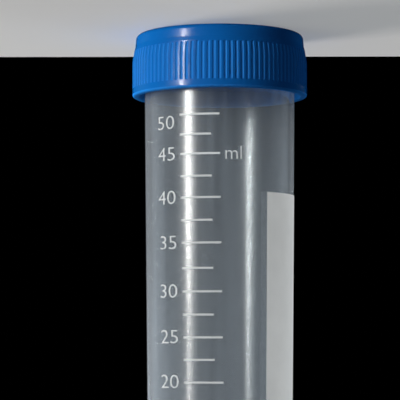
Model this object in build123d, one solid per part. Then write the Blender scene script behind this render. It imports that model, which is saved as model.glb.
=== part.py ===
from build123d import *
from math import ceil, pi, radians, tan
import os

# A 50 ml conical centrifuge tube with its ribbed screw cap, in millimetres.
# The tube can't stand on its cone, so the closed pair stands upside down on the
# flat cap, as it does on a bench. Z = 0 is the cap's flat top, +Z runs up the
# common axis to the tip of the cone, and the printed scale faces -Y.
# Heights are measured from the cap's flat top unless a name says otherwise.

# ---- tube: one injection moulding in polypropylene ----
nominal_ml = 50.0             # what the cavity holds up to the last scale line
headroom = 4.85               # from that line to the edge of the cap
mouth_radius = 15.0           # outside, at the open end
barrel_draft = 0.6            # degrees a side, narrower towards the cone
wall = 0.95                   # barrel and cone
cone_half_angle = 34.7        # degrees
cavity_tip_radius = 3.3       # flat end of the cavity before it is rounded
tip_wall = 1.3                # the tip is thicker, where the plastic enters the mould
tip_rounding = 2.0            # inside
cone_rounding = 1.8           # outside, where the barrel turns into the cone
mouth_chamfer = 0.25          # both edges of the open end

# ---- screw cap: one injection moulding, with its seal moulded on ----
cap_height = 12.4             # flat top to the open edge of the skirt
cap_top_wall = 1.3
skirt_wall = 1.45             # bore to the crests of the grip's ridges
top_corner_rounding = 1.0
top_band_inset = 0.75         # the band round the flat top stands in from the ridges
top_band_draft = 4.0          # degrees, wider towards the ridges
top_band_height = 2.4
shoulder_height = 1.3         # slope from the smooth band out to the ridges
rim_band_height = 1.6         # smooth band below the ridges
rim_chamfer = 0.3             # outside edge of the skirt
rim_lead_in = 0.4             # inside edge of the skirt

# ---- grip: upright grooves that leave fine ridges between them ----
groove_count = 100
groove_depth = 0.36
groove_width = 0.74           # at the crests, down to nothing at the bottom

# ---- how the two fit ----
thread_height = 0.75          # the screw thread stands this far off the neck
thread_clearance = 0.15       # between the thread's crest and the skirt's bore
plug_clearance = 0.08         # between the seal plug and the tube's bore
plug_wall = 1.0
plug_depth = 2.4              # how far the seal plug reaches into the mouth
plug_lead_in = 0.45

# ---- screen print: white ink on the outside of the barrel ----
ink_thickness = 0.08
line_width = 0.45             # height of a scale line
line_step_ml = 2.5            # short lines fall between the long ones
first_line_ml = 5.0
long_line_arc = 31.0          # degrees round the barrel
short_line_arc = 24.5
line_start_bearing = -31.2    # left end of the last line, degrees right of the front
print_skew = 0.058            # degrees a millimetre, as the printing drifts round the barrel
# How far single lines stand nearer the cap than their true level, by their volume.
print_offset = {47.5: 0.3, 45: 0.7, 42.5: 0.6, 40: 0.7, 37.5: 0.6, 35: 0.55,
                30: -0.15, 27.5: -0.2, 25: -0.15, 20: 0.15}

# ---- white patch for writing on, beside the scale ----
panel_bearing = 38.5          # its left edge, degrees right of the front
panel_width = 27.0            # round the barrel
panel_above_line = 1.2        # its top edge, above the line that it starts at
panel_top_ml = 40.0
panel_bottom_ml = 7.5

# ---- small roundings are turned as narrow cones, which keeps the solids light ----
small_rounding = 3.0          # up to this radius
flat_turn = 30.0              # degrees that each cone takes up, at most

# ---- the cavity: its length follows from the volume that it has to hold ----
mouth_z = cap_top_wall                       # the open end seats on the cap's inside
full_z = cap_height + headroom               # level of the nominal volume
draft_slope = tan(radians(barrel_draft))
cone_slope = tan(radians(cone_half_angle))
cavity_mouth_radius = mouth_radius - wall
full_radius = cavity_mouth_radius - draft_slope * (full_z - mouth_z)
# Barrel and cone are both frustums, of pi / 3 / slope times the difference of the
# cubes of their end radii, so the radius where they meet has a closed form.
cavity_cone_radius = ((full_radius**3 / draft_slope - cavity_tip_radius**3 / cone_slope
                       - 3 / pi * nominal_ml * 1000)
                      / (1 / draft_slope - 1 / cone_slope)) ** (1 / 3)
cavity_cone_z = full_z + (full_radius - cavity_cone_radius) / draft_slope
cavity_tip_z = cavity_cone_z + (cavity_cone_radius - cavity_tip_radius) / cone_slope

# ---- the outside of the tube keeps the wall's thickness square to barrel and cone ----
tip_z = cavity_tip_z + tip_wall
cone_z = cavity_cone_z + wall * tan(radians(cone_half_angle / 2))


def barrel_radius(z: float) -> float:
    """Outside radius of the drafted barrel at a height."""
    return mouth_radius - draft_slope * (z - mouth_z)


cone_radius = barrel_radius(cone_z)
tip_radius = cone_radius - cone_slope * (tip_z - cone_z)

# ---- the cap goes round the neck and its thread, and its plug into the mouth ----
skirt_bore = mouth_radius + thread_height + thread_clearance
cap_radius = skirt_bore + skirt_wall
top_band_radius = cap_radius - top_band_inset
plug_radius = cavity_mouth_radius - plug_clearance
plug_tip_z = cap_top_wall + plug_depth
shoulder_z = top_band_height + shoulder_height


def eased(arc: Edge) -> list[Edge]:
    """A rounding's edges in the half section: the arc, or its chords if it is small."""
    if arc.radius > small_rounding:
        return [arc]
    flats = ceil(arc.length / arc.radius / radians(flat_turn))
    return Polyline([arc @ (flat / flats) for flat in range(flats + 1)]).edges()


def turned(*corners: tuple[float, float, float]) -> Part:
    """Turn a half section about Z. Each corner is its radius, height and rounding."""
    outline = FilletPolyline([(r, z) for r, z, rounding in corners],
                             radius=[rounding for r, z, rounding in corners],
                             close=True).edges()
    section = outline.filter_by(GeomType.LINE)
    for arc in outline.filter_by(GeomType.CIRCLE):
        section += eased(arc)
    return revolve(Plane.XZ * make_face(section), Axis.Z)


def tube_body() -> Part:
    """The open tube: rounded tip, cone and drafted barrel with an even wall."""
    chamfer_radius = barrel_radius(mouth_z + mouth_chamfer)
    return turned(
        (0, tip_z, 0),
        (tip_radius, tip_z, tip_rounding + wall),
        (cone_radius, cone_z, cone_rounding),
        (chamfer_radius, mouth_z + mouth_chamfer, 0),
        (mouth_radius - mouth_chamfer, mouth_z, 0),
        (cavity_mouth_radius + mouth_chamfer, mouth_z, 0),
        (chamfer_radius - wall, mouth_z + mouth_chamfer, 0),
        (cavity_cone_radius, cavity_cone_z, 0),
        (cavity_tip_radius, cavity_tip_z, tip_rounding),
        (0, cavity_tip_z, 0),
    )


def grip_groove() -> Part:
    """The cutter for one groove, from the shoulder to the rim band."""
    length = cap_height - rim_band_height - shoulder_z
    # The sides go on past the crests at the same slope, so the cut leaves no skin.
    section = make_face(Polyline(
        (cap_radius - groove_depth, 0),
        (cap_radius + groove_depth, -groove_width),
        (cap_radius + groove_depth, groove_width),
        close=True,
    ))
    return Pos(0, 0, shoulder_z) * extrude(section, length)


def screw_cap() -> Part:
    """The cap: flat top, skirt, seal plug inside and the grooved grip outside."""
    plug_inside = plug_radius - plug_wall
    band_foot_radius = top_band_radius + tan(radians(top_band_draft)) * top_band_height
    body = turned(
        (0, 0, 0),
        (top_band_radius, 0, top_corner_rounding),
        (band_foot_radius, top_band_height, 0),
        (cap_radius, shoulder_z, 0),
        (cap_radius, cap_height - rim_chamfer, 0),
        (cap_radius - rim_chamfer, cap_height, 0),
        (skirt_bore + rim_lead_in, cap_height, 0),
        (skirt_bore, cap_height - rim_lead_in, 0),
        (skirt_bore, cap_top_wall, 0),
        (plug_radius, cap_top_wall, 0),
        (plug_radius, plug_tip_z - plug_lead_in, 0),
        (plug_radius - plug_lead_in, plug_tip_z, 0),
        (plug_inside, plug_tip_z, 0),
        (plug_inside, cap_top_wall, 0),
        (0, cap_top_wall, 0),
    )
    groove = grip_groove()
    return body - [turn * groove for turn in PolarLocations(0, groove_count)]


def level_height(millilitres: float) -> float:
    """Height of the liquid's level, tube held tip down, for a volume above the cone."""
    missing = (nominal_ml - millilitres) * 1000
    level_radius = (full_radius**3 - 3 / pi * draft_slope * missing) ** (1 / 3)
    return full_z + (full_radius - level_radius) / draft_slope


def line_height(millilitres: float) -> float:
    """Height of a scale line's middle, as it is printed."""
    return level_height(millilitres) - print_offset.get(millilitres, 0)


def printed(top_z: float, bottom_z: float, bearing: float, arc: float) -> Part:
    """A film of ink on the barrel, from a bearing and through an arc, both in degrees.

    Bearings count from the front to the right of someone who reads the scale,
    which is clockwise about +Z because the tube stands on its cap.
    """
    film = make_face(Polyline(
        (barrel_radius(top_z), top_z),
        (barrel_radius(top_z) + ink_thickness, top_z),
        (barrel_radius(bottom_z) + ink_thickness, bottom_z),
        (barrel_radius(bottom_z), bottom_z),
        close=True,
    ))
    front = -90  # degrees about +Z, where a revolved section starts at 0
    return revolve(Plane.XZ * film, Axis.Z, arc).rotate(Axis.Z, front - bearing - arc)


def graduation_lines() -> Compound:
    """All scale lines, by turns long and short, from the last down to the first."""
    steps = round((nominal_ml - first_line_ml) / line_step_ml)
    lines = []
    for step in range(steps + 1):
        middle = line_height(nominal_ml - step * line_step_ml)
        bearing = line_start_bearing + print_skew * (middle - full_z)
        arc = long_line_arc if step % 2 == 0 else short_line_arc
        lines.append(printed(middle - line_width / 2, middle + line_width / 2, bearing, arc))
    return Compound(children=lines)


def writing_panel() -> Part:
    """The matt white patch that takes a pencil or marker."""
    top_z = line_height(panel_top_ml) - panel_above_line
    bottom_z = line_height(panel_bottom_ml)
    arc = 360 * panel_width / (2 * pi * barrel_radius(top_z))
    return printed(top_z, bottom_z, panel_bearing, arc)


os.makedirs("parts", exist_ok=True)
pieces = {
    "screw_cap": screw_cap(),
    "tube_body": tube_body(),
    "graduation_lines": graduation_lines(),
    "writing_panel": writing_panel(),
}
for name, solid in pieces.items():
    export_step(solid, f"parts/{name}.step")
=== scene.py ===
"""The looks of a closed 50 ml conical tube that stands upside down on its screw cap.

The classes hold their sizes in millimetres and the meshes are made in metres, in the
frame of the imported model: +Z runs up the common axis from the cap's flat top to the
tip of the cone, and the printed scale faces -Y. A bearing is an angle round the axis,
counted from the front to the right of someone who reads the scale.
"""

import logging
import math
from dataclasses import dataclass
from enum import Enum
from itertools import pairwise
from typing import Callable, Sequence

import bpy
import numpy as np
from mathutils import Matrix, Vector


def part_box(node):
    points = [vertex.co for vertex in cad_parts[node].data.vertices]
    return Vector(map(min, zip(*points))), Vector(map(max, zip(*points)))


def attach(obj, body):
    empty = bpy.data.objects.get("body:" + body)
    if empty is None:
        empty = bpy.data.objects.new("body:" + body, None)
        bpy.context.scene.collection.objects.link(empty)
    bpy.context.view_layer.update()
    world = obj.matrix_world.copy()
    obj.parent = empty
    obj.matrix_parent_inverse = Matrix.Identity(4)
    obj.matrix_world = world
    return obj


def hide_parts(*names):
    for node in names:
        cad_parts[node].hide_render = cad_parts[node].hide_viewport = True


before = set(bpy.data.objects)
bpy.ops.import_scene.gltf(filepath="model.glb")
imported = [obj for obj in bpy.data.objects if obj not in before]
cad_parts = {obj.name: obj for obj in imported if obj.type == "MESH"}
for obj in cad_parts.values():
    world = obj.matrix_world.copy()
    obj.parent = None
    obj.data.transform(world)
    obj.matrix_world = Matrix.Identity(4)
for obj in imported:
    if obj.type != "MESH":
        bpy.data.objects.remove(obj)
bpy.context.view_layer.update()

MM = 0.001                    # metres in a millimetre
WELD = 0.0005                 # mm, under which two points are one
NEAR = 0.01                   # mm, within which a point lies on a radius
ARC_STEP = 12.0               # degrees that one face takes of a rounded corner
SMOOTH_ANGLE = 25.0           # degrees, under which two faces shade as one surface
FACES_INWARDS = -0.5          # a face whose normal points out by less than this faces inwards
FONT_NUMERAL = 0.73           # height of the font's numerals at a size of one
CLEAR_OF_WALL = 0.1           # mm, at which a word is set before it is wrapped on the barrel
LINE_SLACK = 0.02             # mm, within which points belong to a scale line
NOISE_LOW = 0.3               # nearly all of a noise lies above this
NOISE_HIGH = 0.7              # and below this

log = logging.getLogger("conical_tube")


class Body(Enum):
    """The two bodies of the frame."""

    CAP = "cap"
    TUBE = "tube"


class Slot(Enum):
    """The record's material slots."""

    CAP = "cap_plastic"
    TUBE = "tube_plastic"
    INK = "white_ink"


class Side(Enum):
    """The side of a bearing that a word stands on, for someone who reads the scale."""

    LEFT = -1
    RIGHT = 1


# ---- colours, nodes and patterns ----


def linear(hex_colour: str) -> tuple[float, float, float, float]:
    """Turn an sRGB hex colour into linear values.

    Args:
        hex_colour: Six hex digits, with or without a leading #.

    Returns:
        Red, green, blue and an alpha of one.
    """
    digits = hex_colour.lstrip("#")
    channels = [int(digits[place:place + 2], 16) / 255 for place in (0, 2, 4)]
    red, green, blue = (
        channel / 12.92 if channel <= 0.04045 else ((channel + 0.055) / 1.055) ** 2.4
        for channel in channels
    )
    return red, green, blue, 1.0


def per_size(size_mm: float) -> float:
    """The scale of a noise on Object coordinates whose features measure size_mm."""
    return 1 / (size_mm * MM)


def add_node(tree: bpy.types.NodeTree, kind: str, inputs: dict | None = None,
             **settings: object) -> bpy.types.Node:
    """Add a node with its settings and links.

    Args:
        tree: The node tree that it goes into.
        kind: What follows "ShaderNode" in its type.
        inputs: A value, or an output to link, for each input by its name or number.
        settings: The node's own properties.

    Returns:
        The new node.
    """
    node = tree.nodes.new(f"ShaderNode{kind}")
    for name, value in settings.items():
        setattr(node, name, value)
    for name, value in (inputs or {}).items():
        if isinstance(value, bpy.types.NodeSocket):
            tree.links.new(value, node.inputs[name])
        else:
            node.inputs[name].default_value = value
    return node


def new_material(name: str) -> tuple[bpy.types.Material, bpy.types.NodeTree]:
    """Start a material.

    Args:
        name: Its name.

    Returns:
        The material and its empty node tree.
    """
    material = bpy.data.materials.new(name)
    material.use_nodes = True
    material.node_tree.nodes.clear()
    return material, material.node_tree


# ---- modelling helpers ----


@dataclass(frozen=True)
class Corner:
    """A corner of a half section: its distance from the axis, height and rounding, in mm."""

    radius: float
    height: float
    rounding: float = 0.0

    def point(self) -> Vector:
        """Its place in the XZ plane, in metres."""
        return Vector((self.radius, 0, self.height)) * MM


def rounded(before: Vector, corner: Corner, after: Vector) -> list[Vector]:
    """Round one corner of an outline.

    Args:
        before: The corner's neighbour on the side that the outline comes from.
        corner: The corner.
        after: Its neighbour on the side that the outline goes to.

    Returns:
        The points of the arc, or the corner alone if it has no rounding.
    """
    place = corner.point()
    if corner.rounding == 0:
        return [place]
    back = (before - place).normalized()
    ahead = (after - place).normalized()
    half = back.angle(ahead) / 2
    reach = corner.rounding * MM / math.tan(half)
    centre = place + (back + ahead).normalized() * corner.rounding * MM / math.sin(half)
    start = place + back * reach - centre
    end = place + ahead * reach - centre
    turn = start.angle(end)
    steps = max(2, math.ceil(math.degrees(turn) / ARC_STEP))
    return [centre + (start * math.sin(turn * (1 - step / steps))
                      + end * math.sin(turn * step / steps)) / math.sin(turn)
            for step in range(steps + 1)]


def outline(corners: Sequence[Corner]) -> list[Vector]:
    """Draw an open outline through corners.

    Args:
        corners: The corners in order. The first and the last aren't rounded.

    Returns:
        The outline's points, in metres.
    """
    points = [corners[0].point()]
    for before, corner, after in zip(corners, corners[1:], corners[2:]):
        points += rounded(before.point(), corner, after.point())
    return points + [corners[-1].point()]


def active() -> bpy.types.Object:
    """The object that the last operator left active."""
    return bpy.context.view_layer.objects.active


def edit(piece: bpy.types.Object) -> None:
    """Select one piece alone and enter edit mode on its vertices.

    Args:
        piece: The mesh object.
    """
    bpy.ops.object.select_all(action="DESELECT")
    piece.select_set(True)
    bpy.context.view_layer.objects.active = piece
    bpy.ops.object.mode_set(mode="EDIT")
    bpy.ops.mesh.select_mode(type="VERT")


def leave_edit() -> None:
    """Go back to object mode."""
    bpy.ops.object.mode_set(mode="OBJECT")


def draw_in(piece: bpy.types.Object, wanted: Callable[[np.ndarray], np.ndarray],
            factor: float) -> None:
    """Bring some of a mesh's vertices nearer the axis.

    Args:
        piece: The mesh object.
        wanted: Takes all vertex places in mm, one row each, and says which are wanted.
        factor: What their distance from the axis is multiplied by.
    """
    vertices = piece.data.vertices
    places = np.zeros(len(vertices) * 3, np.float32)
    vertices.foreach_get("co", places)
    edit(piece)
    bpy.ops.mesh.select_all(action="DESELECT")
    leave_edit()
    vertices.foreach_set("select", wanted(places.reshape(-1, 3) / MM))
    bpy.ops.object.mode_set(mode="EDIT")
    bpy.ops.transform.resize(value=(factor, factor, 1), center_override=(0, 0, 0))
    leave_edit()


def drawn(name: str, points: Sequence[Vector], closed: bool = False) -> bpy.types.Object:
    """Draw a line of edges by extruding one vertex from point to point.

    Args:
        name: The new object's name.
        points: The line's points, in metres.
        closed: Join the last point to the first and fill the loop with a face.

    Returns:
        The new object, in edit mode with all of it selected.
    """
    bpy.ops.object.select_all(action="DESELECT")
    bpy.ops.mesh.primitive_plane_add(size=MM)
    piece = active()
    piece.name = name
    edit(piece)
    bpy.ops.mesh.select_all(action="SELECT")
    bpy.ops.mesh.merge(type="CENTER")
    bpy.ops.transform.translate(value=points[0])
    for here, there in pairwise(points):
        bpy.ops.mesh.extrude_vertices_move(TRANSFORM_OT_translate={"value": there - here})
    bpy.ops.mesh.select_all(action="SELECT")
    if closed:
        bpy.ops.mesh.edge_face_add()
    return piece


def closed_up(piece: bpy.types.Object) -> bpy.types.Object:
    """Weld a mesh's seams and poles, point its faces outwards and shade it smooth.

    Args:
        piece: The mesh object.

    Returns:
        The same piece.
    """
    edit(piece)
    bpy.ops.mesh.select_all(action="SELECT")
    bpy.ops.mesh.remove_doubles(threshold=WELD * MM)
    bpy.ops.mesh.normals_make_consistent(inside=False)
    leave_edit()
    bpy.ops.object.shade_smooth_by_angle(angle=math.radians(SMOOTH_ANGLE))
    return piece


def turned(name: str, corners: Sequence[Corner], segments: int) -> bpy.types.Object:
    """Turn a half section about Z, as on a lathe.

    Args:
        name: The new object's name.
        corners: The half section from one point of the axis to another.
        segments: Faces round the axis.

    Returns:
        The closed, smooth piece.
    """
    piece = drawn(name, outline(corners))
    bpy.ops.mesh.spin(steps=segments, angle=math.tau, center=(0, 0, 0), axis=(0, 0, 1))
    leave_edit()
    return closed_up(piece)


def joined(pieces: Sequence[bpy.types.Object]) -> bpy.types.Object:
    """Join pieces into one.

    Args:
        pieces: The mesh objects.

    Returns:
        The first of them, which now holds them all.
    """
    bpy.ops.object.select_all(action="DESELECT")
    for piece in pieces:
        piece.select_set(True)
    bpy.context.view_layer.objects.active = pieces[0]
    bpy.ops.object.join()
    return pieces[0]


def apply_modifier(piece: bpy.types.Object, kind: str, **settings: object) -> None:
    """Add a modifier and apply it.

    Args:
        piece: The mesh object.
        kind: The modifier's type.
        settings: Its properties.
    """
    bpy.context.view_layer.objects.active = piece
    modifier = piece.modifiers.new(kind.title(), kind)
    for name, value in settings.items():
        setattr(modifier, name, value)
    bpy.ops.object.modifier_apply(modifier=modifier.name)


def cover(piece: bpy.types.Object, material: bpy.types.Material) -> None:
    """Give a piece one material all over."""
    piece.data.materials.clear()
    piece.data.materials.append(material)


def cover_film(film: bpy.types.Object, ink: "ScreenPrintInk") -> None:
    """Give a film of ink its coat, and its clear bonded side where it faces the axis.

    Args:
        film: The film, which lies round the axis.
        ink: Its finish.
    """
    cover(film, ink.material())
    film.data.materials.append(ink.bonded_side())
    for face in film.data.polygons:
        outwards = Vector((face.center.x, face.center.y, 0)).normalized()
        face.material_index = int(face.normal.dot(outwards) < FACES_INWARDS)


def place_on(piece: bpy.types.Object, body: Body, slot: Slot, *nodes: str) -> None:
    """Make a finished piece ride on a body and stand for CAD nodes.

    Args:
        piece: The piece.
        body: The body that it moves with.
        slot: The record's material slot; not used.
        nodes: The CAD nodes that it stands for.
    """
    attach(piece, body.value)
    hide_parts(*nodes)
    triangles = sum(len(face.vertices) - 2 for face in piece.data.polygons)
    log.info("%s: %d triangles, on %s", piece.name, triangles, body.value)


def round_point(radius: float, bearing: float, height: float) -> Vector:
    """A point in metres from mm and degrees of bearing."""
    angle = math.radians(bearing)
    return Vector((-radius * math.sin(angle), -radius * math.cos(angle), height)) * MM


def corners_of(piece: bpy.types.Object) -> tuple[Vector, Vector]:
    """The lowest and highest corner of an untransformed mesh, in metres."""
    places = np.array([vertex.co for vertex in piece.data.vertices])
    return Vector(places.min(0)), Vector(places.max(0))


# ---- finishes ----


@dataclass(frozen=True)
class MouldedCapPlastic:
    """Blue pigmented polypropylene, injection moulded in a lightly blasted mould.

    It is opaque with a satin gloss, and a very fine peel breaks up its highlights.
    Below the crests of the grip's ridges the mould was left rough, so it is matt there;
    its blue is painted lighter there too, which lifts the shade that falls in the grooves.
    """

    grip: "RibbedScrewCap"
    blue: str = "#0A5EAB"
    deep_blue: str = "#08559D"
    # painted lighter than the rest of the cap, which lifts the shade in the grooves
    groove_blue: str = "#0D6DBD"
    flow_mm: float = 7.0      # streaks of pigment
    peel_mm: float = 0.55     # the mould's texture
    peel_depth: float = 0.012     # mm
    peel_strength: float = 0.2
    smoothest: float = 0.16   # roughness in the peel's hollows
    roughest: float = 0.27    # and on its peaks
    groove_roughness: float = 0.85
    crest_margin: float = 0.004   # mm under a crest at which the matt part begins
    ior: float = 1.49
    specular: float = 0.33    # a blasted mould takes some of the gloss

    def material(self) -> bpy.types.Material:
        """Build the cap's node tree.

        Returns:
            The material.
        """
        material, tree = new_material("moulded_blue_polypropylene")
        place = add_node(tree, "TexCoord").outputs["Object"]
        flow = add_node(tree, "TexNoise", {
            "Vector": place, "Scale": per_size(self.flow_mm), "Detail": 3.0})
        colour = add_node(tree, "Mix", {
            0: flow.outputs["Fac"], 6: linear(self.deep_blue), 7: linear(self.blue)},
            data_type="RGBA")
        peel = add_node(tree, "TexNoise", {
            "Vector": place, "Scale": per_size(self.peel_mm), "Detail": 2.0})
        polished = add_node(tree, "MapRange", {
            "Value": peel.outputs["Fac"], "From Min": NOISE_LOW, "From Max": NOISE_HIGH,
            "To Min": self.smoothest, "To Max": self.roughest})
        axes = add_node(tree, "SeparateXYZ", {"Vector": place})
        outwards = add_node(tree, "VectorMath", {0: place, 1: (1, 1, 0)}, operation="MULTIPLY")
        radius = add_node(tree, "VectorMath", {0: outwards.outputs["Vector"]},
                          operation="LENGTH")
        shoulder_radius, shoulder = self.grip.shoulder()
        crest = add_node(tree, "MapRange", {
            "Value": axes.outputs["Z"], "From Min": shoulder * MM,
            "From Max": (shoulder + self.grip.ridge_blend) * MM,
            "To Min": (shoulder_radius - self.crest_margin) * MM,
            "To Max": (self.grip.radius - self.crest_margin) * MM})
        below_crest = add_node(tree, "Math", {
            0: radius.outputs["Value"], 1: crest.outputs["Result"]}, operation="LESS_THAN")
        in_grip = add_node(tree, "Math", {
            0: axes.outputs["Z"], 1: self.grip.groove_start * MM}, operation="GREATER_THAN")
        in_groove = add_node(tree, "Math", {
            0: below_crest.outputs["Value"], 1: in_grip.outputs["Value"]},
            operation="MULTIPLY")
        gloss = add_node(tree, "Mix", {
            0: in_groove.outputs["Value"], 2: polished.outputs["Result"],
            3: self.groove_roughness}, data_type="FLOAT")
        # Painted light: the grooves get the lighter blue, which lifts the shade that falls in
        # them.
        blue = add_node(tree, "Mix", {
            0: in_groove.outputs["Value"], 6: colour.outputs[2], 7: linear(self.groove_blue)},
            data_type="RGBA")
        bump = add_node(tree, "Bump", {
            "Strength": self.peel_strength, "Distance": self.peel_depth * MM,
            "Height": peel.outputs["Fac"]})
        plastic = add_node(tree, "BsdfPrincipled", {
            "Base Color": blue.outputs[2], "Roughness": gloss.outputs[0],
            "Normal": bump.outputs["Normal"], "IOR": self.ior,
            "Specular IOR Level": self.specular})
        add_node(tree, "OutputMaterial", {"Surface": plastic.outputs["BSDF"]})
        return material


@dataclass(frozen=True)
class PolishedTubePlastic:
    """Natural polypropylene, injection moulded over a polished core.

    It is clear with a faint cool milkiness that thickens where the wall is seen
    edge on, and with long soft flow streaks down the barrel. Its milkiness is painted
    lower next to the cap and higher towards the tip: a painted shade under the cap and a
    painted brightening lower down the barrel.
    """

    milk: str = "#BDC8D3"
    clear: str = "#F7F9FA"
    haze: float = 0.078       # share of light that one surface scatters, seen straight on
    edge_haze: float = 0.41   # seen edge on
    # Painted shade and light: less milkiness next to the cap darkens the barrel there like a
    # shadow, and more towards the tip brightens it lower down.
    mouth_milk: float = 0.88  # factor on both next to the cap, at clear_height
    gate_milk: float = 1.45   # and from milky_height on to the gate
    clear_height: float = 12.0    # mm
    milky_height: float = 75.0
    edge_power: float = 2.2   # how late the milkiness thickens towards the edge
    streak_mm: float = 2.0    # width of the flow streaks
    streak_stretch: float = 0.03  # their width over their length
    cloud_mm: float = 9.0     # broad drifts in the milkiness
    cloud_stretch: float = 0.3
    streak_share: float = 0.7     # of streaks in the flow, and the rest is clouds
    flow_low: float = 0.35    # the flow lies between these two,
    flow_high: float = 0.65
    thin_milk: float = 0.68   # where it multiplies the milkiness by these two
    thick_milk: float = 1.34
    smoothest: float = 0.18   # and where the surface is this rough
    roughest: float = 0.22
    blur: float = 0.045       # added to that for gloss seen through the wall
    mouth_gain: float = 2.4   # how much more of such gloss comes back, up to gain_start
    gate_gain: float = 1.0    # and from gain_end on
    gain_start: float = 42.0      # mm
    gain_end: float = 60.0
    mirror_straight: float = 0.04     # share of light mirrored by a surface seen straight on
    mirror_grazing: float = 0.6   # added to it at a grazing angle

    def material(self) -> bpy.types.Material:
        """Build the tube's node tree.

        Returns:
            The material.
        """
        material, tree = new_material("natural_polypropylene")
        place = add_node(tree, "TexCoord").outputs["Object"]
        along = add_node(tree, "Mapping", {
            "Vector": place, "Scale": (1, 1, self.streak_stretch)})
        streaks = add_node(tree, "TexNoise", {
            "Vector": along.outputs["Vector"], "Scale": per_size(self.streak_mm), "Detail": 2.0})
        drift = add_node(tree, "Mapping", {
            "Vector": place, "Scale": (1, 1, self.cloud_stretch)})
        clouds = add_node(tree, "TexNoise", {
            "Vector": drift.outputs["Vector"], "Scale": per_size(self.cloud_mm), "Detail": 3.0})
        flow = add_node(tree, "Mix", {
            0: self.streak_share, 2: clouds.outputs["Fac"], 3: streaks.outputs["Fac"]},
            data_type="FLOAT")
        strength = add_node(tree, "MapRange", {
            "Value": flow.outputs[0], "From Min": self.flow_low, "From Max": self.flow_high,
            "To Min": self.thin_milk, "To Max": self.thick_milk})
        facing = add_node(tree, "LayerWeight", {"Blend": 0.5}).outputs["Facing"]
        steep = add_node(tree, "Math", {0: facing, 1: self.edge_power}, operation="POWER")
        thickness = add_node(tree, "MapRange", {
            "Value": steep.outputs["Value"], "To Min": self.haze, "To Max": self.edge_haze})
        height = add_node(tree, "SeparateXYZ", {"Vector": place}).outputs["Z"]
        # Painted shade and light along the barrel: less milk under the cap, more towards the
        # tip.
        painted_light_by_height = add_node(tree, "MapRange", {
            "Value": height, "From Min": self.clear_height * MM,
            "From Max": self.milky_height * MM, "To Min": self.mouth_milk,
            "To Max": self.gate_milk})
        milkiness = add_node(tree, "Math", {
            0: strength.outputs["Result"], 1: painted_light_by_height.outputs["Result"]}, operation="MULTIPLY")
        share = add_node(tree, "Math", {
            0: thickness.outputs["Result"], 1: milkiness.outputs["Value"]},
            operation="MULTIPLY")
        polish = add_node(tree, "MapRange", {
            "Value": flow.outputs[0], "From Min": self.flow_low, "From Max": self.flow_high,
            "To Min": self.smoothest, "To Max": self.roughest})
        # Light that has gone through the wall comes back blurred, and more of it does.
        inside = add_node(tree, "NewGeometry").outputs["Backfacing"]
        blur = add_node(tree, "Math", {0: inside, 1: self.blur, 2: polish.outputs["Result"]},
                        operation="MULTIPLY_ADD")
        returned = add_node(tree, "MapRange", {
            "Value": height, "From Min": self.gain_start * MM, "From Max": self.gain_end * MM,
            "To Min": self.mouth_gain, "To Max": self.gate_gain})
        gain = add_node(tree, "Math", {0: inside, 1: returned.outputs["Result"], 2: 1.0},
                        operation="MULTIPLY_ADD")
        scatter = add_node(tree, "BsdfDiffuse", {"Color": linear(self.milk)})
        through = add_node(tree, "BsdfTranslucent", {"Color": linear(self.milk)})
        milk = add_node(tree, "MixShader", {
            "Fac": 0.5, 1: scatter.outputs["BSDF"], 2: through.outputs["BSDF"]})
        clear = add_node(tree, "BsdfTransparent", {"Color": linear(self.clear)})
        wall = add_node(tree, "MixShader", {
            "Fac": share.outputs["Value"], 1: clear.outputs["BSDF"], 2: milk.outputs["Shader"]})
        # Schlick's form of Fresnel, which is the same from inside the wall.
        grazing = add_node(tree, "Math", {0: facing, 1: 5.0}, operation="POWER")
        mirror = add_node(tree, "Math", {
            0: grazing.outputs["Value"], 1: self.mirror_grazing, 2: self.mirror_straight},
            operation="MULTIPLY_ADD")
        gloss = add_node(tree, "BsdfGlossy", {
            "Color": (1, 1, 1, 1), "Roughness": blur.outputs["Value"]})
        gloss_share = add_node(tree, "Math", {
            0: mirror.outputs["Value"], 1: gain.outputs["Value"]}, operation="MULTIPLY")
        surface = add_node(tree, "MixShader", {
            "Fac": gloss_share.outputs["Value"], 1: wall.outputs["Shader"],
            2: gloss.outputs["BSDF"]})
        add_node(tree, "OutputMaterial", {"Surface": surface.outputs["Shader"]})
        return material


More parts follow.
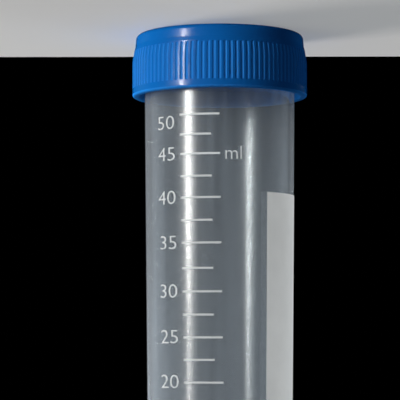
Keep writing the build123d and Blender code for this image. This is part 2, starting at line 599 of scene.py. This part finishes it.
@dataclass(frozen=True)
class ScreenPrintInk:
    """White screen-print ink, cured on the plastic.

    A thin coat with a fine tooth, which lets some light through from behind. It takes
    on the plastic's satin gloss, but the coat for writing on is filled and dries matt.
    """

    name: str = "screen_print_ink"
    white: str = "#E8EAEB"
    through: float = 0.45     # share of its light that comes from behind
    roughness: float = 0.26
    tooth_mm: float = 0.2
    tooth_depth: float = 0.015    # mm
    tooth_strength: float = 0.2
    cloud_mm: float = 6.0     # how the coat's thickness drifts
    thin_shade: float = 0.93  # factor on the white where it is thinnest

    def bonded_side(self) -> bpy.types.Material:
        """The side that has taken to the plastic, where nothing is seen but the coat.

        Returns:
            A clear material.
        """
        material, tree = new_material(f"{self.name}_bonded_side")
        clear = add_node(tree, "BsdfTransparent")
        add_node(tree, "OutputMaterial", {"Surface": clear.outputs["BSDF"]})
        return material

    def material(self) -> bpy.types.Material:
        """Build the ink's node tree.

        Returns:
            The material.
        """
        material, tree = new_material(self.name)
        place = add_node(tree, "TexCoord").outputs["Object"]
        tooth = add_node(tree, "TexNoise", {
            "Vector": place, "Scale": per_size(self.tooth_mm), "Detail": 2.0})
        cloud = add_node(tree, "TexNoise", {
            "Vector": place, "Scale": per_size(self.cloud_mm), "Detail": 3.0})
        shade = add_node(tree, "MapRange", {
            "Value": cloud.outputs["Fac"], "From Min": NOISE_LOW, "From Max": NOISE_HIGH,
            "To Min": self.thin_shade, "To Max": 1.0})
        colour = add_node(tree, "VectorMath", {
            0: linear(self.white)[:3], "Scale": shade.outputs["Result"]}, operation="SCALE")
        bump = add_node(tree, "Bump", {
            "Strength": self.tooth_strength, "Distance": self.tooth_depth * MM,
            "Height": tooth.outputs["Fac"]})
        coat = add_node(tree, "BsdfPrincipled", {
            "Base Color": colour.outputs["Vector"], "Roughness": self.roughness,
            "Normal": bump.outputs["Normal"]})
        behind = add_node(tree, "BsdfTranslucent", {"Color": colour.outputs["Vector"]})
        surface = add_node(tree, "MixShader", {
            "Fac": self.through, 1: coat.outputs["BSDF"], 2: behind.outputs["BSDF"]})
        add_node(tree, "OutputMaterial", {"Surface": surface.outputs["Shader"]})
        return material


@dataclass(frozen=True)
class PaintedTabletop:
    """Matt pale paint on a smooth board, which is shown lighter than the lamps make it."""

    paint: str = "#DADBDA"
    glow: float = 0.3         # added for whoever looks at the board, and on nothing else
    roughness: float = 0.7
    roller_mm: float = 0.9    # the nap that the roller left
    roller_depth: float = 0.05    # mm
    roller_strength: float = 0.15

    def material(self) -> bpy.types.Material:
        """Build the board's node tree.

        Returns:
            The material.
        """
        material, tree = new_material("matt_pale_paint")
        place = add_node(tree, "TexCoord").outputs["Object"]
        roller = add_node(tree, "TexNoise", {
            "Vector": place, "Scale": per_size(self.roller_mm)})
        bump = add_node(tree, "Bump", {
            "Strength": self.roller_strength, "Distance": self.roller_depth * MM,
            "Height": roller.outputs["Fac"]})
        seen = add_node(tree, "Math", {
            0: add_node(tree, "LightPath").outputs["Is Camera Ray"], 1: self.glow},
            operation="MULTIPLY")
        paint = add_node(tree, "BsdfPrincipled", {
            "Base Color": linear(self.paint), "Roughness": self.roughness,
            "Normal": bump.outputs["Normal"], "Emission Color": linear(self.paint),
            "Emission Strength": seen.outputs["Value"]})
        add_node(tree, "OutputMaterial", {"Surface": paint.outputs["BSDF"]})
        return material


# ---- the screw thread, which cap and neck share ----


@dataclass(frozen=True)
class Thread:
    """A right-handed moulded thread that runs out to nothing at both ends, in mm."""

    root_radius: float        # the wall that it stands on
    crest_radius: float       # inside the wall for the cap, outside it for the neck
    start_height: float
    pitch: float = 3.2
    turns: float = 1.5
    root_width: float = 1.25
    crest_width: float = 0.55
    sunk: float = 0.15        # how far its foot goes into the wall
    steps_a_turn: int = 120
    run_out: float = 0.09     # turns over which each end comes up

    def foot(self) -> float:
        """Radius of the thread's foot, sunk in the wall."""
        return self.root_radius + math.copysign(self.sunk, self.root_radius - self.crest_radius)

    def section(self) -> list[Vector]:
        """Work out the trapezoid that is swept.

        Returns:
            Its four corners, in metres.
        """
        corners = [
            Corner(self.foot(), self.start_height - self.root_width / 2),
            Corner(self.crest_radius, self.start_height - self.crest_width / 2),
            Corner(self.crest_radius, self.start_height + self.crest_width / 2),
            Corner(self.foot(), self.start_height + self.root_width / 2),
        ]
        return [corner.point() for corner in corners]

    def build(self, name: str) -> bpy.types.Object:
        """Sweep the section up the helix and close its ends.

        Args:
            name: The new object's name.

        Returns:
            The closed ridge.
        """
        ridge = drawn(name, self.section(), closed=True)
        leave_edit()
        steps = round(self.turns * self.steps_a_turn)
        apply_modifier(ridge, "SCREW", axis="Z", angle=math.tau * self.turns,
                       screw_offset=self.pitch * self.turns * MM, steps=steps,
                       render_steps=steps, use_merge_vertices=False)
        self._run_out_ends(ridge)
        return closed_up(ridge)

    def _progress(self, places: np.ndarray) -> np.ndarray:
        """Work out how far up the helix places lie.

        Args:
            places: Their places in mm, one row each.

        Returns:
            The turns from the helix's start.
        """
        fraction = np.arctan2(places[:, 1], places[:, 0]) / math.tau
        climbed = (places[:, 2] - self.start_height) / self.pitch
        return fraction + np.round(climbed - fraction)

    def _run_out_ends(self, ridge: bpy.types.Object) -> None:
        """Bring the crest down into the wall, step by step towards each end.

        Args:
            ridge: The swept thread.
        """
        foot = self.foot()
        tapered = round(self.run_out * self.steps_a_turn)
        quarter_step = 0.25 / self.steps_a_turn
        for step in range(tapered):
            ease = math.sin(math.pi / 2 * step / tapered)
            radius = foot + (self.crest_radius - foot) * ease
            near = step / self.steps_a_turn

            def at_this_step(places: np.ndarray) -> np.ndarray:
                """Find the crest's vertices at this step from either end.

                Args:
                    places: All places in mm, one row each.

                Returns:
                    Which of them these are.
                """
                progress = self._progress(places)
                from_end = np.minimum(progress, self.turns - progress)
                reach = np.hypot(places[:, 0], places[:, 1])
                on_crest = np.abs(reach - self.crest_radius) < NEAR
                return on_crest & (np.abs(from_end - near) < quarter_step)

            draw_in(ridge, at_this_step, radius / self.crest_radius)


# ---- the cap ----


@dataclass
class RibbedScrewCap:
    """The screw cap: flat top, fine upright ridges, seal plug and inner thread, in mm."""

    radius: float
    height: float
    top_wall: float = 1.3
    skirt_bore: float = 15.9
    top_rounding: float = 1.0
    band_inset: float = 0.75
    band_draft: float = 4.0   # degrees
    band_height: float = 2.4
    shoulder_rise: float = 0.4    # share of the step out to the ridges in its first part
    shoulder_height: float = 0.8
    ridge_blend: float = 2.3      # height over which the ridges come out to full radius
    rim_band_height: float = 1.6
    rim_rounding: float = 0.5
    lead_in: float = 0.4
    plug_radius: float = 13.97
    plug_wall: float = 1.0
    plug_height: float = 2.4
    ridges: int = 100
    ridge_height: float = 0.16
    steps_a_ridge: int = 10
    crest_share: float = 0.4  # flat share of a ridge's pitch
    flank_share: float = 0.4  # share of both its flanks
    groove_start: float = 3.4
    groove_end: float = 0.08  # height over which a groove closes at either end
    groove_guard: float = 0.06    # a narrow row of faces past each end keeps the shading crisp
    crest_rounding: float = 0.8   # where the ridges reach their full radius
    edge_rounding: float = 0.3    # of the band, the shoulder and the plug
    inner_rounding: float = 0.4   # where the skirt and the plug meet the top wall
    plug_lead_in: float = 0.45
    thread_height: float = 0.75
    thread_start: float = 4.6

    def band_foot(self) -> float:
        """Radius where the band round the flat top meets the shoulder."""
        drafted = math.tan(math.radians(self.band_draft)) * self.band_height
        return self.radius - self.band_inset + drafted

    def shoulder(self) -> tuple[float, float]:
        """Radius and height where the ridges begin to come out."""
        rise = self.shoulder_rise * (self.radius - self.band_foot())
        return self.band_foot() + rise, self.band_height + self.shoulder_height

    def corners(self) -> list[Corner]:
        """Work out the half section.

        Returns:
            Its corners, from the flat top's centre round to the inside's centre.
        """
        shoulder_radius, shoulder = self.shoulder()
        slope = (self.radius - shoulder_radius) / self.ridge_blend
        rim_band = self.height - self.rim_band_height
        plug_inside = self.plug_radius - self.plug_wall
        plug_tip = self.top_wall + self.plug_height
        return [
            Corner(0, 0),
            Corner(self.radius - self.band_inset, 0, self.top_rounding),
            Corner(self.band_foot(), self.band_height, self.edge_rounding),
            Corner(shoulder_radius, shoulder, self.edge_rounding),
            *[Corner(shoulder_radius + slope * (height - shoulder), height)
              for height in (self.groove_start - self.groove_guard, self.groove_start,
                             self.groove_start + self.groove_end)],
            Corner(self.radius, shoulder + self.ridge_blend, self.crest_rounding),
            Corner(self.radius, rim_band - self.groove_end),
            Corner(self.radius, rim_band),
            Corner(self.radius, rim_band + self.groove_guard),
            Corner(self.radius, self.height, self.rim_rounding),
            Corner(self.skirt_bore, self.height, self.lead_in),
            Corner(self.skirt_bore, self.top_wall, self.inner_rounding),
            Corner(self.plug_radius, self.top_wall, self.edge_rounding),
            Corner(self.plug_radius, plug_tip, self.plug_lead_in),
            Corner(plug_inside, plug_tip, self.edge_rounding),
            Corner(plug_inside, self.top_wall, self.inner_rounding),
            Corner(0, self.top_wall),
        ]

    def build(self) -> bpy.types.Object:
        """Turn the cap, press the grooves in and add the thread.

        Returns:
            The finished cap.
        """
        segments = self.ridges * self.steps_a_ridge
        cap = turned("ribbed_cap", self.corners(), segments)
        for step in range(self.steps_a_ridge):
            self._press_grooves(cap, step)
        closed_up(cap)
        thread = Thread(self.skirt_bore, self.skirt_bore - self.thread_height,
                        self.thread_start)
        return joined([cap, thread.build("cap_thread")])

    def dress(self, cap: bpy.types.Object, *nodes: str) -> None:
        """Give the finished cap its plastic, its body and the CAD nodes it stands for."""
        cover(cap, MouldedCapPlastic(self).material())
        place_on(cap, Body.CAP, Slot.CAP, *nodes)

    def _depth(self, step: int) -> float:
        """Work out the ridge's form: flat crest, steep flank, flat floor.

        Args:
            step: A step round one ridge, which starts and ends in a groove.

        Returns:
            The groove's depth there, in mm.
        """
        half = self.steps_a_ridge / 2
        from_crest = abs(step - half) / half
        down = (from_crest - self.crest_share) / self.flank_share
        return self.ridge_height * min(1.0, max(0.0, down))

    def _press_grooves(self, cap: bpy.types.Object, step: int) -> None:
        """Press one line of every groove into the skirt.

        Args:
            cap: The turned cap.
            step: The line's step round its ridge.
        """
        depth = self._depth(step)
        if depth < WELD:
            return
        top = self.groove_start + self.groove_end / 2
        bottom = self.height - self.rim_band_height - self.groove_end / 2
        turn = math.tau / self.ridges
        mid_wall = (self.radius + self.skirt_bore) / 2
        quarter_step = 0.25 / self.steps_a_ridge

        def on_line(places: np.ndarray) -> np.ndarray:
            """Find the grip's outer vertices on this line.

            Args:
                places: All places in mm, one row each.

            Returns:
                Which of them these are.
            """
            angle = np.arctan2(places[:, 1], places[:, 0]) / turn
            here = np.abs((angle - step / self.steps_a_ridge + 0.5) % 1 - 0.5) < quarter_step
            outside = np.hypot(places[:, 0], places[:, 1]) > mid_wall
            return here & outside & (places[:, 2] > top) & (places[:, 2] < bottom)

        draw_in(cap, on_line, (self.radius - depth) / self.radius)


# ---- the tube ----


@dataclass
class ConicalTube:
    """The open tube: drafted barrel, cone, rounded tip and threaded neck, in mm."""

    mouth_radius: float
    mouth_height: float
    tip_height: float
    draft: float = 0.6        # degrees
    wall: float = 0.95
    cone_half_angle: float = 34.7
    cavity_tip_radius: float = 3.3
    tip_wall: float = 1.3
    tip_rounding: float = 2.0
    cone_rounding: float = 1.8
    mouth_rounding: float = 0.25
    gate_radius: float = 1.2  # the dimple where the plastic came in
    gate_depth: float = 0.3
    gate_flare: float = 0.3   # how much wider it is at the surface
    gate_rounding: float = 0.1
    pip_radius: float = 0.4   # the broken sprue in its middle
    pip_foot: float = 0.55
    pip_depth: float = 0.08   # below the tip
    pip_rounding: float = 0.12
    thread_height: float = 0.75
    thread_start: float = 3.1
    thread_turns: float = 2.0
    neck_drafted: float = 0.05    # how far the draft has brought the neck in there
    segments: int = 256

    def __post_init__(self) -> None:
        """Work out where barrel and cone meet, inside and outside."""
        self.draft_slope = math.tan(math.radians(self.draft))
        self.cone_slope = math.tan(math.radians(self.cone_half_angle))
        self.bore = self.mouth_radius - self.wall
        self.cavity_tip = self.tip_height - self.tip_wall
        self.cavity_cone = (
            self.cavity_tip_radius + self.cone_slope * self.cavity_tip
            - self.bore - self.draft_slope * self.mouth_height
        ) / (self.cone_slope - self.draft_slope)
        shift = self.wall * math.tan(math.radians(self.cone_half_angle / 2))
        self.cone = self.cavity_cone + shift

    def barrel_radius(self, height: float) -> float:
        """Outside radius of the barrel at a height."""
        return self.mouth_radius - self.draft_slope * (height - self.mouth_height)

    def corners(self) -> list[Corner]:
        """Work out the half section.

        Returns:
            Its corners, from the tip round the mouth to the cavity's bottom.
        """
        cone_radius = self.barrel_radius(self.cone)
        tip_radius = cone_radius - self.cone_slope * (self.tip_height - self.cone)
        gate_floor = self.tip_height - self.gate_depth
        return [
            Corner(0, self.tip_height - self.pip_depth),
            Corner(self.pip_radius, self.tip_height - self.pip_depth, self.pip_rounding),
            Corner(self.pip_foot, gate_floor, self.gate_rounding),
            Corner(self.gate_radius, gate_floor, self.gate_rounding),
            Corner(self.gate_radius + self.gate_flare, self.tip_height, self.gate_rounding),
            Corner(tip_radius, self.tip_height, self.tip_rounding + self.wall),
            Corner(cone_radius, self.cone, self.cone_rounding),
            Corner(self.mouth_radius, self.mouth_height, self.mouth_rounding),
            Corner(self.bore, self.mouth_height, self.mouth_rounding),
            Corner(self.barrel_radius(self.cavity_cone) - self.wall, self.cavity_cone,
                   self.cone_rounding - self.wall),
            Corner(self.cavity_tip_radius, self.cavity_tip, self.tip_rounding),
            Corner(0, self.cavity_tip),
        ]

    def build(self) -> bpy.types.Object:
        """Turn the tube and add the thread on its neck.

        Returns:
            The finished tube.
        """
        tube = turned("clear_tube", self.corners(), self.segments)
        neck = self.mouth_radius - self.neck_drafted
        thread = Thread(neck, neck + self.thread_height, self.thread_start,
                        turns=self.thread_turns)
        return joined([tube, thread.build("neck_thread")])

    def dress(self, tube: bpy.types.Object, *nodes: str) -> None:
        """Give the finished tube its plastic, its body and the CAD nodes it stands for."""
        cover(tube, PolishedTubePlastic().material())
        place_on(tube, Body.TUBE, Slot.TUBE, *nodes)


# ---- the screen print ----


@dataclass(frozen=True)
class ScaleLine:
    """One line of the scale: its middle's height in mm and its ends' bearings."""

    height: float
    left: float
    right: float


def places_of(node: str) -> np.ndarray:
    """The places of a CAD node's vertices in mm, one row each."""
    return np.array([vertex.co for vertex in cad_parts[node].data.vertices]) / MM


def reach_of(places: np.ndarray) -> tuple[float, float]:
    """The least and the greatest bearing among places."""
    bearings = np.degrees(np.arctan2(-places[:, 0], -places[:, 1]))
    return float(bearings.min()), float(bearings.max())


def lines_of(node: str) -> list[ScaleLine]:
    """Read the scale's lines off their CAD node.

    Args:
        node: The node's name.

    Returns:
        The lines in order of height, which starts next to the cap.
    """
    places = places_of(node)
    edges = np.unique(np.round(places[:, 2], 2))
    lines = []
    for low, high in zip(edges[::2], edges[1::2]):
        line = places[(places[:, 2] > low - LINE_SLACK) & (places[:, 2] < high + LINE_SLACK)]
        lines.append(ScaleLine(float(low + high) / 2, *reach_of(line)))
    return lines


def ink_patch(name: str, tube: ConicalTube, low: float, high: float, left: float,
              right: float, film: float, lift: float, step: float = 1.5) -> bpy.types.Object:
    """Lay a film of ink on the barrel between two heights and two bearings.

    Args:
        name: The new object's name.
        tube: Whose barrel it lies on.
        low: Its lower edge, in mm.
        high: Its upper edge, in mm.
        left: Bearing of its left edge.
        right: Bearing of its right edge.
        film: Its thickness, in mm.
        lift: Its distance from the plastic, in mm.
        step: Degrees that one face takes.

    Returns:
        The closed film.
    """
    inner_low = tube.barrel_radius(low) + lift
    inner_high = tube.barrel_radius(high) + lift
    section = [
        round_point(inner_low, left, low),
        round_point(inner_low + film, left, low),
        round_point(inner_high + film, left, high),
        round_point(inner_high, left, high),
    ]
    patch = drawn(name, section, closed=True)
    steps = max(2, math.ceil((right - left) / step))
    bpy.ops.mesh.spin(steps=steps, angle=math.radians(right - left), center=(0, 0, 0),
                      axis=(0, 0, 1))
    leave_edit()
    return closed_up(patch)


@dataclass
class PrintedScale:
    """The graduation: lines, numerals and the unit, as a film of ink on the barrel."""

    tube: ConicalTube
    lines: list[ScaleLine]    # from the last line, next to the cap, to the first
    last_ml: int = 50
    label_step_ml: int = 5
    line_width: float = 0.38
    film: float = 0.05
    lift: float = 0.012       # between the plastic and the film, so that they don't fight
    numeral_height: float = 2.78
    widened: float = 1.33     # the print's letters are wider than the font's
    thinned: float = 0.045    # taken off each side of a stroke
    raised: float = 0.15      # the words stand this much nearer the cap than the lines
    label_gap: float = 5.0    # degrees between numerals and line
    unit_gap: float = 4.0     # degrees between line and unit
    unit_widened: float = 1.0
    unit_line: int = 2        # the line that the unit stands beside
    last_gap: float = 0.1     # between the last line and its numeral, which stands below it
    curve_steps: int = 4      # faces along each curve of a letter
    ink: ScreenPrintInk = ScreenPrintInk()

    def build_lines(self) -> bpy.types.Object:
        """Print all the lines.

        Returns:
            The lines as one film.
        """
        half = self.line_width / 2
        marks = [
            ink_patch("scale_line", self.tube, line.height - half, line.height + half,
                      line.left, line.right, self.film, self.lift)
            for line in self.lines
        ]
        lines = joined(marks)
        lines.name = "scale_lines"
        return lines

    def build_lettering(self, barrel: bpy.types.Object) -> bpy.types.Object:
        """Print the numerals and the unit.

        Args:
            barrel: The finished tube, which the film is wrapped on.

        Returns:
            The lettering as one film.
        """
        words = []
        for place, line in enumerate(self.lines[::2]):
            value = self.last_ml - place * self.label_step_ml
            below = self.numeral_height / 2 + self.last_gap if value == self.last_ml else 0
            words.append(self._word(barrel, str(value), Side.LEFT, line.left - self.label_gap,
                                    line.height + below, self.widened))
        line = self.lines[self.unit_line]
        words.append(self._word(barrel, "ml", Side.RIGHT, line.right + self.unit_gap,
                                line.height, self.unit_widened))
        lettering = joined(words)
        lettering.name = "scale_lettering"
        return lettering

    def dress(self, film: bpy.types.Object, *nodes: str) -> None:
        """Give one of the films its ink, its body and the CAD nodes it stands for."""
        cover_film(film, self.ink)
        place_on(film, Body.TUBE, Slot.INK, *nodes)

    def _word(self, barrel: bpy.types.Object, text: str, side: Side, bearing: float,
              height: float, widened: float) -> bpy.types.Object:
        """Set one word and wrap it on the barrel.

        Args:
            barrel: The tube.
            text: The numerals or the unit.
            side: Where the word stands from the bearing.
            bearing: Where its nearer end is.
            height: Height of the word's middle, in mm.
            widened: How many times wider its letters are than the font's.

        Returns:
            The word as a closed film.
        """
        bpy.ops.object.select_all(action="DESELECT")
        bpy.ops.object.text_add()
        word = active()
        word.name = "scale_word"
        word.data.body = text
        word.data.align_x = "CENTER"
        word.data.align_y = "CENTER"
        word.data.size = self.numeral_height / FONT_NUMERAL * MM
        word.data.offset = -self.thinned * MM
        word.data.resolution_u = self.curve_steps
        bpy.ops.object.convert(target="MESH")
        word = active()
        low, high = corners_of(word)
        radius = self.tube.barrel_radius(height)
        half_turn = math.degrees((high.x - low.x) * widened / 2 / (radius * MM))
        middle = bearing + side.value * half_turn
        centre = (low + high) / 2
        angle = math.radians(middle)
        outwards = Vector((-math.sin(angle), -math.cos(angle), 0))
        rightwards = Vector((-math.cos(angle), math.sin(angle), 0))
        downwards = Vector((0, 0, -1))
        turn = Matrix((rightwards, downwards, outwards)).transposed().to_4x4()
        place = Matrix.Translation(
            round_point(radius + CLEAR_OF_WALL, middle, height - self.raised))
        widen = Matrix.Diagonal((widened, 1, 1, 1))
        word.matrix_world = place @ turn @ widen @ Matrix.Translation(-centre)
        bpy.ops.object.transform_apply(location=True, rotation=True, scale=True)
        apply_modifier(word, "SHRINKWRAP", target=barrel, wrap_mode="ABOVE_SURFACE",
                       wrap_method="NEAREST_SURFACEPOINT", offset=self.lift * MM)
        apply_modifier(word, "SOLIDIFY", thickness=self.film * MM, offset=1.0)
        return closed_up(word)


@dataclass
class WritingPanel:
    """The matt white patch beside the scale, in mm."""

    tube: ConicalTube
    film: float = 0.06
    lift: float = 0.012
    tucked: float = 7.0       # degrees off its far edge, which lies hidden behind the near one
    ink: ScreenPrintInk = ScreenPrintInk("writing_panel_ink", white="#E8E9E9", through=0.6,
                                         roughness=0.62)

    def build(self, node: str) -> bpy.types.Object:
        """Lay the patch where its CAD node is.

        Args:
            node: The node's name.

        Returns:
            The closed film.
        """
        low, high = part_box(node)
        left, right = reach_of(places_of(node))
        return ink_patch("writing_patch", self.tube, low.z / MM, high.z / MM, left,
                         right - self.tucked, self.film, self.lift)

    def dress(self, patch: bpy.types.Object, *nodes: str) -> None:
        """Give the patch its ink, its body and the CAD nodes it stands for."""
        cover_film(patch, self.ink)
        place_on(patch, Body.TUBE, Slot.INK, *nodes)


# ---- the studio ----


@dataclass(frozen=True)
class Tabletop:
    """The pale board that the object stands on, in mm."""

    width: float = 420.0
    in_front: float = 240.0
    behind: float = 30.0
    thickness: float = 12.0
    edge_bevel: float = 1.5

    def build(self) -> None:
        """Make the board.

        The lamps reach below its top, so it casts no shadow. It gives no light back and
        gloss doesn't show it, so the part looks as it would without it.
        """
        bpy.ops.object.select_all(action="DESELECT")
        depth = self.in_front + self.behind
        bpy.ops.mesh.primitive_cube_add(
            size=1, scale=(self.width * MM, depth * MM, self.thickness * MM),
            location=(0, (self.behind - depth / 2) * MM, -self.thickness / 2 * MM))
        board = active()
        board.name = "tabletop"
        bpy.ops.object.transform_apply(location=True, rotation=True, scale=True)
        apply_modifier(board, "BEVEL", width=self.edge_bevel * MM, segments=3)
        cover(board, PaintedTabletop().material())
        board.visible_shadow = False
        board.visible_glossy = False
        board.visible_diffuse = False


@dataclass(frozen=True)
class Softbox:
    """A flat lamp that faces the object: bearing in degrees, the rest in mm."""

    name: str
    bearing: float
    distance: float
    low: float                # height of its lower edge
    high: float
    width: float
    radiance: float           # what a mirror of it would show, where 1 is white
    colour: str = "#FFFFFF"
    mirrored: bool = True     # gloss shows it
    lights: bool = True       # matt surfaces are lit by it

    def build(self) -> None:
        """Hang the lamp."""
        width = self.width * MM
        height = (self.high - self.low) * MM
        lamp = bpy.data.lights.new(self.name, "AREA")
        lamp.shape = "RECTANGLE"
        lamp.size = width
        lamp.size_y = height
        lamp.energy = self.radiance * math.pi * width * height
        lamp.color = linear(self.colour)[:3]
        holder = bpy.data.objects.new(self.name, lamp)
        bpy.context.scene.collection.objects.link(holder)
        holder.visible_glossy = self.mirrored
        holder.visible_diffuse = self.lights
        holder.location = round_point(self.distance, self.bearing, (self.low + self.high) / 2)
        inwards = round_point(-self.distance, self.bearing, 0)
        holder.rotation_euler = inwards.to_track_quat("-Z", "Y").to_euler()


@dataclass(frozen=True)
class Surroundings:
    """A dark room whose walls give a little soft light back, but aren't seen."""

    soft_light: float = 0.1
    shade: str = "#DDE8F8"

    def build(self) -> None:
        """Set the world."""
        world = bpy.data.worlds.new("dark_room")
        bpy.context.scene.world = world
        world.use_nodes = True
        tree = world.node_tree
        tree.nodes.clear()
        ray = add_node(tree, "LightPath").outputs
        seen = add_node(tree, "Math", {
            0: ray["Is Camera Ray"], 1: ray["Is Glossy Ray"]}, operation="MAXIMUM")
        seen_through = add_node(tree, "Math", {
            0: seen.outputs["Value"], 1: ray["Is Transmission Ray"]}, operation="MAXIMUM")
        walls = add_node(tree, "Background", {
            "Color": linear(self.shade), "Strength": self.soft_light})
        dark = add_node(tree, "Background", {"Color": linear("#000000"), "Strength": 1.0})
        room = add_node(tree, "MixShader", {
            "Fac": seen_through.outputs["Value"], 1: walls.outputs["Background"],
            2: dark.outputs["Background"]})
        add_node(tree, "OutputWorld", {"Surface": room.outputs["Shader"]})


@dataclass(frozen=True)
class StillCamera:
    """A long lens at the front, held upside down so that the cap comes out on top."""

    distance: float = 390.0   # mm from the axis
    height: float = 60.9      # mm
    tilt: float = 4.12        # degrees down towards the cap
    turn: float = 0.575       # degrees to the right of the scale's reader, upside down
    lens: float = 177.3       # mm
    sensor: float = 36.0      # mm
    nearest: float = 10.0     # mm
    farthest: float = 10_000.0

    def build(self) -> None:
        """Set the scene's camera."""
        camera = bpy.data.cameras.new("still_camera")
        camera.lens = self.lens
        camera.sensor_width = self.sensor
        camera.clip_start = self.nearest * MM
        camera.clip_end = self.farthest * MM
        holder = bpy.data.objects.new("still_camera", camera)
        bpy.context.scene.collection.objects.link(holder)
        tilt = math.radians(self.tilt)
        turn = math.radians(self.turn)
        ahead = Vector((math.sin(turn) * math.cos(tilt), math.cos(turn) * math.cos(tilt),
                        -math.sin(tilt)))
        rightwards = ahead.cross(Vector((0, 0, -1))).normalized()
        upwards = rightwards.cross(ahead)
        facing = Matrix((rightwards, upwards, -ahead)).transposed().to_4x4()
        place = Matrix.Translation(Vector((0, -self.distance, self.height)) * MM)
        holder.matrix_world = place @ facing
        bpy.context.scene.camera = holder


def light_studio() -> None:
    """Hang the lamps and set the room.

    A tall narrow window stands to the reader's left. Two lamps are what gloss shows of it,
    and a third gives the light that it throws.
    """
    lamps = [
        Softbox("window", bearing=-50, distance=600, low=-340, high=200, width=10,
                radiance=74, colour="#FFFDF8", lights=False),
        Softbox("window_upper", bearing=-50, distance=598, low=-340, high=14, width=24,
                radiance=66, colour="#FFFDF8", lights=False),
        Softbox("window_glow", bearing=-55, distance=620, low=-310, high=130, width=300,
                radiance=11.5, colour="#FFFDF8", mirrored=False),
        Softbox("back_glow", bearing=-130, distance=620, low=-140, high=300, width=300,
                radiance=16.6, colour="#FFF5EC", mirrored=False),
        Softbox("far_fill", bearing=142, distance=700, low=-140, high=200, width=300,
                radiance=10.2, colour="#EEF2F6", mirrored=False),
        Softbox("near_fill", bearing=-10, distance=900, low=-60, high=420, width=420,
                radiance=0.8, colour="#D4E4FA", mirrored=False),
    ]
    for lamp in lamps:
        lamp.build()
    Surroundings().build()
    bpy.context.scene.view_settings.view_transform = "Standard"


def main() -> None:
    """Build and dress every piece, then the studio round it."""
    logging.basicConfig(level=logging.INFO, format="%(name)s: %(message)s")
    StillCamera().build()

    cap_low, cap_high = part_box("screw_cap")
    cap = RibbedScrewCap(cap_high.x / MM, (cap_high.z - cap_low.z) / MM)
    cap.dress(cap.build(), "screw_cap")

    tube_low, tube_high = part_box("tube_body")
    tube = ConicalTube(tube_high.x / MM, tube_low.z / MM, tube_high.z / MM)
    barrel = tube.build()
    tube.dress(barrel, "tube_body")

    scale = PrintedScale(tube, lines_of("graduation_lines"))
    scale.dress(scale.build_lines(), "graduation_lines")
    scale.dress(scale.build_lettering(barrel))

    panel = WritingPanel(tube)
    panel.dress(panel.build("writing_panel"), "writing_panel")

    Tabletop().build()
    light_studio()


if __name__ == "__main__":
    main()
